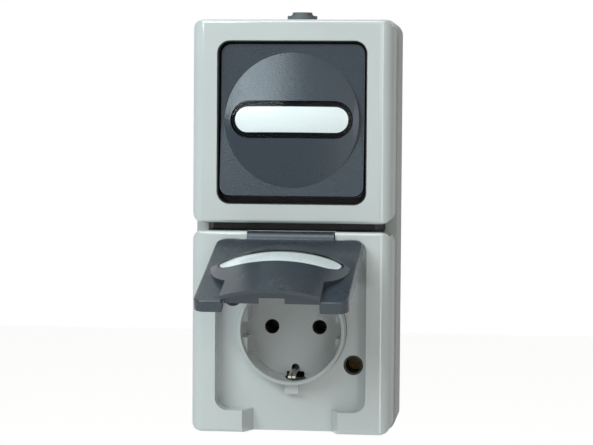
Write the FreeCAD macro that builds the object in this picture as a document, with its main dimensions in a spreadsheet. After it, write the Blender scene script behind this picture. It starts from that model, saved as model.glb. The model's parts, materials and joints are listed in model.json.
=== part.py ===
import FreeCAD, Part
import math
import os
import re
import Sketcher

# Surface-mounted splash-proof pair: a rocker switch above an earthed socket with a hinged lid.
# The origin is the middle of the rear face. X is right, Y goes into the wall, Z is up.
# Heights named "level" are measured from the wall towards the front, along -Y.

doc = FreeCAD.newDocument("switch_and_socket")
Vector = FreeCAD.Vector

SIZES = {
    # housing
    "front_level": 46.0,
    "cover_width": 78.5,
    "cover_height": 79.1,
    "cover_gap": 3.1,
    "cover_depth": 19.0,
    "cover_corner": 4.5,
    "side_round": 5.4,
    "edge_round": 1.8,
    "cover_wall": 2.3,
    "cover_face": 2.2,
    "skirt_lip": 0.9,
    "base_lip": 0.75,
    "base_draft": 0.3,
    "base_corner": 5.0,
    "base_floor": 2.6,
    "tongue_wall": 1.2,
    "tongue_rise": 2.5,
    "snug": 0.1,
    "seal_height": 0.8,
    "joint_rise": 9.0,
    "joint_inset": 7.2,
    "rear_rim": 4.0,
    "wall_hole_inset_x": 11.25,
    "wall_hole_inset_z": 12.65,
    "rear_entry_inset": 18.65,
    "rear_step": 0.8,
    "core_roof": 4.0,
    "core_height": 3.6,
    "core_inner": 10.0,
    "core_margin": 3.0,
    "wire_width": 14.0,
    "wire_height": 8.0,
    "wall_hole_radius": 2.5,
    "wall_boss_radius": 5.5,
    "wall_boss_rise": 2.0,
    "entry_level": 12.0,
    "entry_radius": 5.4,
    "knockout_level": 13.5,
    "knockout_radius": 10.0,
    "knockout_groove": 0.7,
    # cover screws, shared by both covers
    "screw_x": 24.0,
    "screw_z": 13.2,
    "screw_shank": 1.75,
    "screw_head": 2.9,
    "screw_head_height": 2.2,
    "screw_bore": 2.1,
    "screw_well": 3.9,
    "sleeve_wall": 0.75,
    "sleeve_drop": 0.8,
    "screw_bite": 9.0,
    "boss_radius": 5.4,
    "boss_seat": 2.2,
    "post_radius": 4.0,
    "post_level": 22.0,
    "slot_width": 0.9,
    "slot_depth": 1.2,
    # rocker opening and rocker
    "opening_corner": 5.0,
    "rocker_side_gap": 1.2,
    "rocker_end_gap": 2.3,
    "opening_drop": 0.45,
    "collar_wall": 1.6,
    "web_level": 33.4,
    "web_thick": 1.6,
    "web_opening": 35.0,
    "lining_wall": 0.4,
    "lining_drop": 0.6,
    "ledge_side": 1.3,
    "ledge_end": 2.7,
    "rocker_width": 56.2,
    "rocker_height": 59.0,
    "rocker_corner": 3.8,
    "rocker_recess": 1.5,
    "rocker_throw": 4.0,
    "pivot_depth": 15.0,
    "rocker_side": 6.5,
    "rocker_wall": 1.8,
    "rocker_dish": 1.5,
    "island_rise": 5.35,
    "island_rim": 1.8,
    "island_slope": 11.6,
    "rocker_crown": 95.0,
    "window_height": 14.4,
    "window_rim": 2.5,
    "label_side_rim": 1.7,
    "label_top_rim": 2.2,
    "window_thick": 1.8,
    "label_cover": 0.6,
    "clip_x": 10.6,
    "clip_wall": 1.6,
    "clip_height": 16.0,
    "clip_reach": 3.0,
    "cradle_height": 18.0,
    "cradle_front": 9.0,
    "cradle_rear": 1.4,
    "trunnion_radius": 2.2,
    "pin_fit": 0.06,
    "plunger_radius": 1.5,
    # switch mechanism
    "mech_width": 36.0,
    "mech_height": 40.0,
    "mech_drop": 2.5,
    "mech_rear": 8.0,
    "frame_thick": 1.2,
    "frame_margin": 3.0,
    "frame_border": 5.0,
    "frame_drop": 2.8,
    "fixing_inset": 8.25,
    "fixing_shank": 1.5,
    "fixing_head": 2.9,
    "fixing_post": 3.2,
    "ear_gap": 0.4,
    "ear_thick": 3.4,
    "ear_height": 9.0,
    "chamber_floor": 11.0,
    "chamber_side_gap": 0.5,
    "chamber_end_gap": 3.5,
    "seesaw_drop": 11.5,
    "seesaw_width": 9.0,
    "seesaw_length": 21.0,
    "seesaw_thick": 1.6,
    "seesaw_stub": 2.7,
    "contact_inset": 2.0,
    "seesaw_pin": 1.2,
    "seesaw_throw": 6.0,
    "contact_radius": 1.6,
    "contact_rise": 1.0,
    "rest_gap": 0.3,
    "terminal_radius": 2.0,
    "terminal_inset": 4.5,
    "terminal_side_inset": 5.0,
    "terminal_rise": 1.6,
    # socket cover
    "recess_corner": 5.0,
    "recess_side": 8.35,
    "recess_top_rim": 2.95,
    "recess_below": 10.25,
    "recess_depth": 9.0,
    "recess_wall": 2.0,
    "notch_floor": 31.0,
    "notch_side_gap": 0.5,
    "notch_wall": 3.0,
    "hinge_width": 33.9,
    "hinge_side_gap": 0.3,
    "hinge_radius": 3.9,
    "hinge_below": 1.0,
    "hinge_depth": 1.5,
    "hinge_pin": 0.8,
    "lug_radius": 1.5,
    "lug_width": 4.0,
    "latch_width": 5.4,
    "latch_inset": 6.3,
    "latch_depth": 5.5,
    # socket well
    "well_radius": 19.65,
    "well_rise": 0.6,
    "ring_wall": 1.6,
    "lip_depth": 1.2,
    "well_depth": 17.5,
    "well_floor": 3.0,
    "flange_thick": 3.0,
    "flange_lip": 3.1,
    "guide_height": 2.25,
    "guide_reach": 9.6,
    "guide_rise": 14.5,
    "guide_groove": 6.3,
    "pin_spacing": 19.0,
    "pin_hole": 2.9,
    "earth_width": 7.0,
    "earth_step": 1.85,
    "earth_lobe_step": 1.5,
    "earth_lobe": 1.6,
    "earth_rise": 8.0,
    "strap_width": 2.9,
    "strap_inset": 0.6,
    "strap_slit": 0.35,
    "strap_drop": 5.0,
    "strap_nip_inset": 1.75,
    "strap_thick": 0.8,
    "strap_reach": 12.5,
    "block_width": 36.0,
    "block_height": 46.0,
    "block_terminal_inset": 3.2,
    "block_terminal_side": 4.5,
    "block_rear": 6.0,
    "ear_bar": 12.0,
    "ear_bar_thick": 2.0,
    "ear_bar_level": 21.0,
    "tube_inner": 2.45,
    "tube_wall": 0.85,
    "tube_rear": 7.0,
    "tube_drop": 4.0,
    "tube_slit": 0.8,
    # lid
    "lid_top": 2.72,
    "lid_side_gap": 1.1,
    "lid_end_gap": 1.3,
    "lid_circle_rise": 2.0,
    "lid_island_rim": 2.2,
    "lid_corner": 4.0,
    "lid_outer": 2.0,
    "lid_side": 4.4,
    "lid_skin": 1.5,
    "lid_soft": 0.8,
    "lid_open": 72.0,
    "tab_width": 36.6,
    "lid_rise": 6.4,
    "lid_rise_angle": 13.7,
    "lid_fall_angle": 2.7,
    "lid_crown": 60.0,
    "lid_label_rim": 0.9,
    "front_wall_back": 4.0,
    "front_wall_edge": 0.5,
    "latch_notch_width": 9.6,
    "latch_notch_rise": 2.2,
    "gasket_width": 1.6,
    "gasket_inset": 1.1,
    "gasket_height": 0.8,
    "rib_width": 2.4,
    # cable grommet
    "grommet_flange": 6.0,
    "grommet_flange_thick": 2.0,
    "grommet_cone": 4.4,
    "grommet_cone_top": 2.5,
    "grommet_nipple": 4.0,
    "grommet_nipple_top": 3.4,
    "grommet_inner": 6.6,
    "grommet_inner_thick": 1.2,
}

# Sizes and places that follow from the ones above.
LAYOUT = {
    "module_z": "(cover_height + cover_gap) / 2",
    "wall_hole_x": "cover_width - 2 * wall_hole_inset_x",
    "wall_hole_z": "2 * cover_height + cover_gap - 2 * wall_hole_inset_z",
    "rear_entry_z": "cover_height + cover_gap / 2 - rear_entry_inset",
    "fixing_x": "cover_width / 2 - fixing_inset",
    "core_outer": "fixing_x + core_margin",
    "opening_width": "rocker_width + 2 * rocker_side_gap",
    "opening_height": "rocker_height + 2 * rocker_end_gap",
    "island_radius": "rocker_width / 2 - island_rim",
    "window_width": "2 * (island_radius - window_rim)",
    "label_width": "window_width - 2 * label_side_rim",
    "label_height": "window_height - 2 * label_top_rim",
    "mech_front": "front_level - rocker_recess - pivot_depth - mech_drop",
    "frame_level": "mech_front - frame_drop",
    "frame_width": "2 * (fixing_x + frame_margin)",
    "frame_height": "mech_height + 2 * frame_border",
    "terminal_x": "mech_width / 2 - terminal_side_inset",
    "terminal_z": "mech_height / 2 - terminal_inset",
    "chamber_width": "seesaw_width + 2 * chamber_side_gap",
    "chamber_height": "seesaw_length + 2 * chamber_end_gap",
    "seesaw_reach": "seesaw_width / 2 + seesaw_stub",
    "contact_z": "seesaw_length / 2 - contact_inset",
    "well_z": "module_z - well_rise",
    "ring_radius": "well_radius + ring_wall",
    "recess_width": "2 * (ring_radius + recess_side)",
    "recess_top": "cover_gap / 2 + recess_top_rim",
    "recess_bottom": "well_z + ring_radius + recess_below",
    "hinge_drop": "recess_top + hinge_below",
    "latch_bottom": "recess_bottom - latch_inset",
    "flange_radius": "ring_radius + flange_lip",
    "guide_x": "well_radius - guide_height",
    "earth_inner": "well_radius - earth_step",
    "earth_lobe_inner": "earth_inner - earth_lobe_step",
    "strap_z": "earth_inner - strap_inset",
    "strap_back": "front_level - lip_depth - well_depth - well_floor - strap_drop",
    "strap_nip": "well_radius - strap_nip_inset",
    "tube_outer": "tube_inner + tube_wall",
    "block_terminal_x": "block_width / 2 - block_terminal_side",
    "block_terminal_z": "block_height / 2 - block_terminal_inset",
    "lid_width": "recess_width - 2 * lid_side_gap",
    "lid_bottom": "recess_bottom - hinge_drop - lid_end_gap",
    "lid_circle_z": "well_z - hinge_drop - lid_circle_rise",
    "lid_island_radius": "lid_width / 2 - lid_island_rim",
    "lid_window_width": "2 * (lid_island_radius - window_rim)",
    "lid_label_width": "lid_window_width - 2 * lid_label_rim",
    "lid_label_height": "window_height - 2 * lid_label_rim",
    "notch_front": "tab_width + 2 * notch_side_gap",
    "gasket_radius": "ring_radius - gasket_inset",
}

sheet = doc.addObject("Spreadsheet::Sheet", "Sizes")
for row, alias in enumerate([*SIZES, *LAYOUT], start=1):
    sheet.set("A%d" % row, alias)
    sheet.set("B%d" % row, str(SIZES[alias]) if alias in SIZES else "=" + LAYOUT[alias])
    sheet.setAlias("B%d" % row, alias)
doc.recompute()


def formula(text):
    """Write the sheet's name before each size in a formula."""
    known = {**SIZES, **LAYOUT}
    return re.sub(r"[a-z_]+", lambda word: ("Sizes." if word.group() in known else "") + word.group(), str(text))


# Places worked out from the sizes, written as formulas.
MODULE_Z = "module_z"
RIM_LEVEL = "(front_level - cover_depth)"
BASE_WIDTH = "(cover_width + 2 * base_lip)"
BASE_HEIGHT = "(2 * cover_height + cover_gap + 2 * base_lip)"
CAVITY_INSET = "(skirt_lip + snug + tongue_wall)"
OPENING_Z = "(" + MODULE_Z + " - opening_drop)"
PIVOT_LEVEL = "(front_level - rocker_recess - pivot_depth)"
RECESS_LEVEL = "(front_level - recess_depth)"
LIP_LEVEL = "(front_level - lip_depth)"
WELL_FLOOR_LEVEL = "(front_level - lip_depth - well_depth)"
INSERT_REAR = "(front_level - lip_depth - well_depth - well_floor)"
HINGE_LEVEL = "(front_level - hinge_depth)"
SEESAW_LEVEL = "(" + PIVOT_LEVEL + " - seesaw_drop)"
EAR_INSIDE = "(clip_x + clip_wall + ear_gap)"
EAR_OUTSIDE = "(clip_x + clip_wall + ear_gap + ear_thick)"
PLUNGER_REACH = "(seesaw_drop - seesaw_thick - rest_gap)"
COVER_SCREWS = (("screw_x", "-screw_z"), ("-screw_x", "screw_z"))


def value(text):
    """The number that a formula comes to."""
    found = sheet.evalExpression(formula(text))
    return float(getattr(found, "Value", found))


def plus(first, second):
    return "((%s) + (%s))" % (first, second)


def minus(first, second):
    return "((%s) - (%s))" % (first, second)


def bind(item, **fields):
    """Tie fields of an object to formulas. A double underscore in a field's name stands for a point."""
    for field, text in fields.items():
        item.setExpression(field.replace("__", "."), formula(text))
    return item


# Sketches

def body(label):
    return doc.addObject("PartDesign::Body", label)


def sketch_on(owner, role, offset="0"):
    """A sketch on one of the body's own origin planes, moved along the plane's normal."""
    sketch = owner.newObject("Sketcher::SketchObject", owner.Name + "_outline")
    plane = [part for part in owner.Origin.OriginFeatures if part.Role == role][0]
    sketch.AttachmentSupport = [(plane, "")]
    sketch.MapMode = "FlatFace"
    return bind(sketch, AttachmentOffset__Base__z=offset)


def fix(sketch, kind, geometry, point, text):
    """Hold a sketch point at a distance from the sketch's origin, given by a formula."""
    index = sketch.addConstraint(Sketcher.Constraint(kind, -1, 1, geometry, point, value(text)))
    sketch.setExpression("Constraints[%d]" % index, formula(text))


def rounded_rectangle(sketch, width, height, corner, x="0", z="0"):
    """A rectangle with round corners, centred on a place."""
    first = sketch.GeometryCount
    radius = value(corner)
    half = (value(width) / 2 - radius, value(height) / 2 - radius)
    centre = (value(x), value(z))
    signs = ((1, 1), (-1, 1), (-1, -1), (1, -1))
    for turn, (right, up) in enumerate(signs):
        middle = Vector(centre[0] + right * half[0], centre[1] + up * half[1], 0)
        circle = Part.Circle(middle, Vector(0, 0, 1), radius)
        sketch.addGeometry(Part.ArcOfCircle(circle, math.pi / 2 * turn, math.pi / 2 * (turn + 1)))
    for turn in range(4):
        start = sketch.Geometry[first + turn].EndPoint
        end = sketch.Geometry[first + (turn + 1) % 4].StartPoint
        sketch.addGeometry(Part.LineSegment(start, end))
    for turn in range(4):
        arc, line, following = first + turn, first + 4 + turn, first + (turn + 1) % 4
        sketch.addConstraint(Sketcher.Constraint("Tangent", arc, 2, line, 1))
        sketch.addConstraint(Sketcher.Constraint("Tangent", line, 2, following, 1))
        sketch.addConstraint(Sketcher.Constraint("Vertical" if turn % 2 else "Horizontal", line))
        if turn:
            sketch.addConstraint(Sketcher.Constraint("Equal", first, arc))
    index = sketch.addConstraint(Sketcher.Constraint("Radius", first, radius))
    sketch.setExpression("Constraints[%d]" % index, formula(corner))
    for turn in (0, 2):
        right, up = signs[turn]
        fix(sketch, "DistanceX", first + turn, 3, "(%s) + %d * ((%s) / 2 - (%s))" % (x, right, width, corner))
        fix(sketch, "DistanceY", first + turn, 3, "(%s) + %d * ((%s) / 2 - (%s))" % (z, up, height, corner))


def circle_outline(sketch, radius, x="0", z="0"):
    index = sketch.GeometryCount
    sketch.addGeometry(Part.Circle(Vector(value(x), value(z), 0), Vector(0, 0, 1), value(radius)))
    fix(sketch, "DistanceX", index, 3, x)
    fix(sketch, "DistanceY", index, 3, z)
    size = sketch.addConstraint(Sketcher.Constraint("Radius", index, value(radius)))
    sketch.setExpression("Constraints[%d]" % size, formula(radius))


def polygon(sketch, corners):
    """A closed outline through corners, each a pair of formulas."""
    first = sketch.GeometryCount
    places = [Vector(value(across), value(up), 0) for across, up in corners]
    for index, place in enumerate(places):
        sketch.addGeometry(Part.LineSegment(place, places[(index + 1) % len(places)]))
    for index, (across, up) in enumerate(corners):
        line = first + index
        following = first + (index + 1) % len(corners)
        sketch.addConstraint(Sketcher.Constraint("Coincident", line, 2, following, 1))
        fix(sketch, "DistanceX", line, 1, across)
        fix(sketch, "DistanceY", line, 1, up)


def pad(owner, sketch, length, midplane=False):
    feature = owner.newObject("PartDesign::Pad", owner.Name + "_pad")
    feature.Profile = sketch
    feature.Midplane = midplane
    owner.Tip = feature
    return bind(feature, Length=length)


def pocket(owner, sketch, length, to_front=False, midplane=False):
    """A pocket that goes towards the wall, or from behind towards the front."""
    feature = owner.newObject("PartDesign::Pocket", owner.Name + "_pocket")
    feature.Profile = sketch
    feature.Reversed = to_front
    feature.Midplane = midplane
    owner.Tip = feature
    return bind(feature, Length=length)


def soften(owner, radius, picks):
    """Round the edges of the body's last feature that a test picks."""
    doc.recompute()
    base = owner.Tip
    names = []
    for index, edge in enumerate(base.Shape.Edges, start=1):
        if picks(edge):
            names.append("Edge%d" % index)
    feature = owner.newObject("PartDesign::Fillet", owner.Name + "_fillet")
    feature.Base = (base, names)
    owner.Tip = feature
    return bind(feature, Radius=radius)


def at_level(level):
    """Picks edges that lie whole at one level in front of the wall."""
    height = value(level)
    return lambda edge: all(abs(place.Point.y + height) < 1e-4 for place in edge.Vertexes)


# Plain solids and booleans

def block(name, x, level, z):
    """A box between low and high formulas on each axis, its depth given as levels."""
    item = doc.addObject("Part::Box", name)
    bind(item, Length=minus(x[1], x[0]), Width=minus(level[1], level[0]), Height=minus(z[1], z[0]))
    return bind(item, Placement__Base__x=x[0], Placement__Base__y="-(%s)" % level[1], Placement__Base__z=z[0])


def turned_cylinder(name, radius, length, axis, angle):
    item = doc.addObject("Part::Cylinder", name)
    item.Placement = FreeCAD.Placement(Vector(), FreeCAD.Rotation(axis, angle))
    return bind(item, Radius=radius, Height=length)


def rod_out(name, radius, low, high, x="0", z="0"):
    """A cylinder that stands off the wall from one level to another."""
    item = turned_cylinder(name, radius, minus(high, low), Vector(1, 0, 0), 90)
    return bind(item, Placement__Base__x=x, Placement__Base__y="-(%s)" % low, Placement__Base__z=z)


def rod_across(name, radius, low, high, level, z):
    """A cylinder along X."""
    item = turned_cylinder(name, radius, minus(high, low), Vector(0, 1, 0), 90)
    return bind(item, Placement__Base__x=low, Placement__Base__y="-(%s)" % level, Placement__Base__z=z)


def rod_up(name, radius, low, high, x, level):
    """A cylinder along Z."""
    item = turned_cylinder(name, radius, minus(high, low), Vector(0, 0, 1), 0)
    return bind(item, Placement__Base__x=x, Placement__Base__y="-(%s)" % level, Placement__Base__z=low)


def join(name, *pieces):
    item = doc.addObject("Part::MultiFuse", name)
    item.Shapes = list(pieces)
    return item


def group(name, *pieces):
    item = doc.addObject("Part::Compound", name)
    item.Links = list(pieces)
    return item


def cut(name, base, *tools):
    item = doc.addObject("Part::Cut", name)
    item.Base = base
    item.Tool = tools[0] if len(tools) == 1 else join(name + "_tools", *tools)
    return item


def common(name, first, second):
    item = doc.addObject("Part::Common", name)
    item.Base = first
    item.Tool = second
    return item


def plate(name, width, height, corner, low, high, x="0", z="0"):
    """A slab with round corners, standing off the wall from one level to another."""
    owner = body(name)
    sketch = sketch_on(owner, "XZ_Plane", low)
    rounded_rectangle(sketch, width, height, corner, x, z)
    pad(owner, sketch, minus(high, low))
    return owner


def pill(name, width, height, low, high, z="0", grow="0"):
    """A slab with round ends, used for the windows and their labels."""
    ends = "(%s) / 2 + (%s) - 0.01" % (height, grow)
    return plate(name, "(%s + 2 * (%s))" % (width, grow), "(%s + 2 * (%s))" % (height, grow), ends, low, high, z=z)


def crown(name, radius, offset, rise_angle, fall_angle, ridge_level, ridge_z):
    """A ridge roof that is round from side to side: two leaning cylinders that meet at the ridge."""
    sides = []
    for side, lean in (("upper", "-(%s)" % rise_angle), ("lower", "(%s)" % fall_angle)):
        item = turned_cylinder(name + "_" + side, minus(radius, offset), "2 * (%s)" % radius, Vector(1, 0, 0), 0)
        item.Placement.Rotation = FreeCAD.Rotation(Vector(1, 0, 0), value(lean))
        bind(item, Placement__Rotation__Angle=lean)
        bind(item, Placement__Base__y="-(%s) + (%s) * cos(%s) + (%s) * sin(%s)" % (
            ridge_level, radius, lean, radius, lean))
        bind(item, Placement__Base__z="(%s) + (%s) * sin(%s) - (%s) * cos(%s)" % (
            ridge_z, radius, lean, radius, lean))
        sides.append(item)
    return common(name, *sides)


def place(item, level, z, angle="0"):
    """Carry a piece modelled about its own pivot to its place, turned about X."""
    item.Placement = FreeCAD.Placement(Vector(), FreeCAD.Rotation(Vector(1, 0, 0), value(angle) or 1e-9))
    bind(item, Placement__Base__y="-(%s)" % level, Placement__Base__z=z)
    return bind(item, Placement__Rotation__Angle=angle)


def cross_screw(name, head, head_height, shank, top, bottom, x, z):
    """A pan-head screw whose head ends at the top level, with a crossed slot."""
    under = minus(top, head_height)
    solid = join(name + "_solid", rod_out(name + "_head", head, under, top, x, z),
                 rod_out(name + "_shank", shank, bottom, plus(under, "0.1"), x, z))
    deep = minus(top, "slot_depth")
    above = plus(top, "1")
    reach = "(%s) * 0.72" % head
    bar = block(name + "_bar", (minus(x, reach), plus(x, reach)), (deep, above),
                (minus(z, "slot_width / 2"), plus(z, "slot_width / 2")))
    post = block(name + "_post", (minus(x, "slot_width / 2"), plus(x, "slot_width / 2")), (deep, above),
                 (minus(z, reach), plus(z, reach)))
    return cut(name, solid, bar, post)


nodes = {}


def node(label, item):
    """Give a finished sub-part its label, which is also its file's name."""
    item.Label = label
    nodes[label] = item
    return item


# Rear box

def base_box():
    owner = body("box")
    sketch = sketch_on(owner, "XZ_Plane")
    rounded_rectangle(sketch, minus(BASE_WIDTH, "2 * base_draft"), minus(BASE_HEIGHT, "2 * base_draft"),
                      "base_corner")
    walls = pad(owner, sketch, RIM_LEVEL)
    bind(walls, TaperAngle="atan(base_draft / %s)" % RIM_LEVEL)
    tongues = sketch_on(owner, "XZ_Plane", RIM_LEVEL)
    cavities = sketch_on(owner, "XZ_Plane", RIM_LEVEL + " + tongue_rise")
    for side in ("", "-"):
        middle = side + "(" + MODULE_Z + ")"
        gap = "2 * (skirt_lip + snug)"
        rounded_rectangle(tongues, minus("cover_width", gap), minus("cover_height", gap),
                          "cover_corner - skirt_lip - snug", z=middle)
        rounded_rectangle(cavities, minus("cover_width", "2 * " + CAVITY_INSET),
                          minus("cover_height", "2 * " + CAVITY_INSET), "cover_corner - " + CAVITY_INSET,
                          z=middle)
    pad(owner, tongues, "tongue_rise")
    pocket(owner, cavities, RIM_LEVEL + " + tongue_rise - base_floor")
    rear = sketch_on(owner, "XZ_Plane")
    rounded_rectangle(rear, "%s - 2 * rear_rim" % BASE_WIDTH, "%s - 2 * rear_rim" % BASE_HEIGHT,
                      "base_corner - 1")
    pocket(owner, rear, "rear_step", to_front=True)
    cores = sketch_on(owner, "XZ_Plane")
    for side in ("", "-"):
        rounded_rectangle(cores, "(core_outer - core_inner)", "core_height", "core_height / 2 - 0.3",
                          x=side + "(core_outer + core_inner) / 2")
    pocket(owner, cores, "%s - core_roof" % RIM_LEVEL, to_front=True)

    added = []
    removed = []
    for side in ("", "-"):
        middle = side + "(" + MODULE_Z + ")"
        for index, (x, z) in enumerate(COVER_SCREWS):
            name = "cover_post%s%d" % ("_low" if side else "", index)
            added.append(rod_out(name, "post_radius", "base_floor - 0.5", "post_level", x, plus(middle, z)))
            removed.append(rod_out(name + "_pilot", "screw_shank", "post_level - screw_bite - 1",
                                   "post_level + 1", x, plus(middle, z)))
        for index, right in enumerate(("", "-")):
            name = "fixing_post%s%d" % ("_low" if side else "", index)
            x = right + "fixing_x"
            top = "ear_bar_level" if side else "frame_level"
            added.append(rod_out(name, "fixing_post", "base_floor - 0.5", top, x, middle))
            removed.append(rod_out(name + "_pilot", "fixing_shank", top + " - screw_bite", top + " + 1",
                                   x, middle))
            name = "wall_boss%s%d" % ("_low" if side else "", index)
            hole = (right + "wall_hole_x / 2", side + "wall_hole_z / 2")
            added.append(rod_out(name, "wall_boss_radius", "base_floor - 0.5",
                                 "base_floor + wall_boss_rise", *hole))
            added.append(rod_out(name + "_pad", "wall_boss_radius", "0", "rear_step + 0.5", *hole))
            removed.append(rod_out(name + "_hole", "wall_hole_radius", "-1",
                                   "base_floor + wall_boss_rise + 1", *hole))
        ring = (side + "rear_entry_z",)
        removed.append(cut("rear_groove%s" % ("_low" if side else ""),
                           rod_out("rear_groove_outer" + side, "knockout_radius", "0",
                                   "rear_step + knockout_groove", "0", *ring),
                           rod_out("rear_groove_inner" + side, "knockout_radius - knockout_groove", "-1",
                                   "rear_step + 2 * knockout_groove", "0", *ring)))
    bottom = "-(%s) / 2" % BASE_HEIGHT
    removed.append(cut("bottom_groove",
                       rod_up("bottom_groove_outer", "knockout_radius", bottom + " - 1",
                              bottom + " + base_draft + knockout_groove", "0", "knockout_level"),
                       rod_up("bottom_groove_inner", "knockout_radius - knockout_groove", bottom + " - 2",
                              bottom + " + 2", "0", "knockout_level")))
    removed.append(rod_up("cable_entry", "entry_radius", MODULE_Z, BASE_HEIGHT + " / 2 + 1", "0",
                          "entry_level"))
    removed.append(block("wire_way", ("-wire_width / 2", "wire_width / 2"),
                         ("base_floor", "base_floor + wire_height"),
                         ("-cover_gap / 2 - %s - 1" % CAVITY_INSET, "cover_gap / 2 + %s + 1" % CAVITY_INSET)))
    node("base_box", cut("base_box", join("box_with_posts", owner, *added), *removed))


def cover_seal(label, side):
    """A flat rubber frame on the box's tongue, under the shoulder inside the cover's skirt."""
    low = RIM_LEVEL + " + tongue_rise"
    middle = side + "(" + MODULE_Z + ")"
    outer = plate(label + "_outer", "cover_width - 2 * (skirt_lip + snug)",
                  "cover_height - 2 * (skirt_lip + snug)", "cover_corner - skirt_lip - snug",
                  low, low + " + seal_height", z=middle)
    inner = plate(label + "_inner", "cover_width - 2 * " + CAVITY_INSET,
                  "cover_height - 2 * " + CAVITY_INSET, "cover_corner - " + CAVITY_INSET,
                  low + " - 1", low + " + seal_height + 1", z=middle)
    node(label, cut(label, outer, inner))


def joint_strip():
    """A dark rubber strip that stands on the box in the gap between the two covers."""
    half = "(cover_width / 2 - joint_inset)"
    node("joint_strip", block("joint_strip", ("-" + half, half), (RIM_LEVEL, RIM_LEVEL + " + joint_rise"),
                              ("-cover_gap / 2 + snug", "cover_gap / 2 - snug")))


def grommet():
    top = "(" + BASE_HEIGHT + " / 2)"
    inside = "(" + top + " - base_lip - %s)" % CAVITY_INSET
    steps = (
        ("grommet_inner", inside + " - grommet_inner_thick", inside),
        ("entry_radius - snug", inside + " - 0.1", top),
        ("grommet_flange", top, top + " + grommet_flange_thick"),
        ("grommet_cone", top, top + " + grommet_cone_top"),
        ("grommet_nipple", top, top + " + grommet_nipple_top"),
    )
    rods = [rod_up("grommet_step%d" % index, radius, low, high, "0", "entry_level")
            for index, (radius, low, high) in enumerate(steps)]
    bore = rod_up("grommet_hollow", "grommet_nipple - 1.2", inside + " - grommet_inner_thick - 1",
                  top + " + grommet_nipple_top - 1", "0", "entry_level")
    node("top_grommet", cut("top_grommet", join("grommet_steps", *rods), bore))


# Covers

def cover_form(label, side):
    """The outer form of a cover: soft top and bottom edges, wide round sides."""
    middle = side + "(" + MODULE_Z + ")"
    face = plate(label + "_face", "cover_width", "cover_height", "cover_corner", RIM_LEVEL, "front_level",
                 z=middle)
    soften(face, "edge_round", at_level("front_level"))
    sides = body(label + "_sides")
    sketch = sketch_on(sides, "XY_Plane", middle)
    rounded_rectangle(sketch, "cover_width", "front_level", "side_round", "0", "-front_level / 2")
    pad(sides, sketch, "cover_height", midplane=True)
    hollow = plate(label + "_hollow", "cover_width - 2 * cover_wall", "cover_height - 2 * cover_wall",
                   "cover_corner - cover_wall", RIM_LEVEL + " - 1", "front_level - cover_face", z=middle)
    rebate = plate(label + "_rebate", "cover_width - 2 * skirt_lip", "cover_height - 2 * skirt_lip",
                   "cover_corner - skirt_lip", RIM_LEVEL + " - 1",
                   RIM_LEVEL + " + tongue_rise + seal_height", z=middle)
    return cut(label + "_shell", common(label + "_form", face, sides), hollow, rebate)


def cover_bosses(label, side, top, seat):
    """Tubes that run from a cover down to the posts of the box, and the screw wells in them."""
    tubes = []
    wells = []
    for index, (x, z) in enumerate(COVER_SCREWS):
        name = "%s_boss%d" % (label, index)
        z = plus(side + "(" + MODULE_Z + ")", z)
        tubes.append(rod_out(name, "boss_radius", "post_level", top, x, z))
        wells.append(rod_out(name + "_well", "screw_well", seat, plus(top, "3"), x, z))
        wells.append(rod_out(name + "_bore", "screw_bore", "post_level - 1", plus(seat, "1"), x, z))
    return tubes, wells


def switch_cover():
    shell = cover_form("switch_cover", "")
    top = "web_level + web_thick"
    collar = plate("opening_collar", "opening_width + 2 * collar_wall", "opening_height + 2 * collar_wall",
                   "opening_corner + collar_wall", "web_level", "front_level - cover_face / 2", z=OPENING_Z)
    opening = plate("opening", "opening_width", "opening_height", "opening_corner", top, "front_level + 1",
                    z=OPENING_Z)
    way = plate("web_way", "web_opening", "web_opening", "opening_corner", "web_level - 1", top + " + 1",
                z=OPENING_Z)
    tubes, wells = cover_bosses("switch_cover", "", top, "web_level - 2 * web_thick")
    node("switch_cover", cut("switch_cover", join("switch_cover_solid", shell, collar, *tubes),
                             opening, way, *wells))


def rocker_lining():
    """A dark rubber sleeve that lines the rocker's opening and turns in over the web behind it."""
    web = "web_level + web_thick"
    outer = plate("lining_outer", "opening_width", "opening_height", "opening_corner", web,
                  "front_level - lining_drop", z=OPENING_Z)
    inner = plate("lining_inner", "opening_width - 2 * lining_wall", "opening_height - 2 * lining_wall",
                  "opening_corner - lining_wall", web + " + lining_wall", "front_level + 1", z=OPENING_Z)
    way = plate("lining_way", "opening_width - 2 * ledge_side", "opening_height - 2 * ledge_end",
                "opening_corner - ledge_side", "web_level", "front_level", z=OPENING_Z)
    node("rocker_lining", cut("rocker_lining", outer, inner, way))


def screw_sleeves():
    """Rubber sleeves that line the socket cover's screw wells, one round each screw's head."""
    sleeves = []
    for index, (x, z) in enumerate(COVER_SCREWS):
        z = plus("-" + MODULE_Z, z)
        low = "post_level + boss_seat"
        sleeves.append(cut("screw_sleeve%d" % index,
                           rod_out("screw_sleeve_outer%d" % index, "screw_well", low,
                                   RECESS_LEVEL + " - sleeve_drop", x, z),
                           rod_out("screw_sleeve_inner%d" % index, "screw_well - sleeve_wall", low + " - 1",
                                   RECESS_LEVEL + " + 1", x, z)))
    node("screw_sleeves", group("screw_sleeves", *sleeves))


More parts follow.
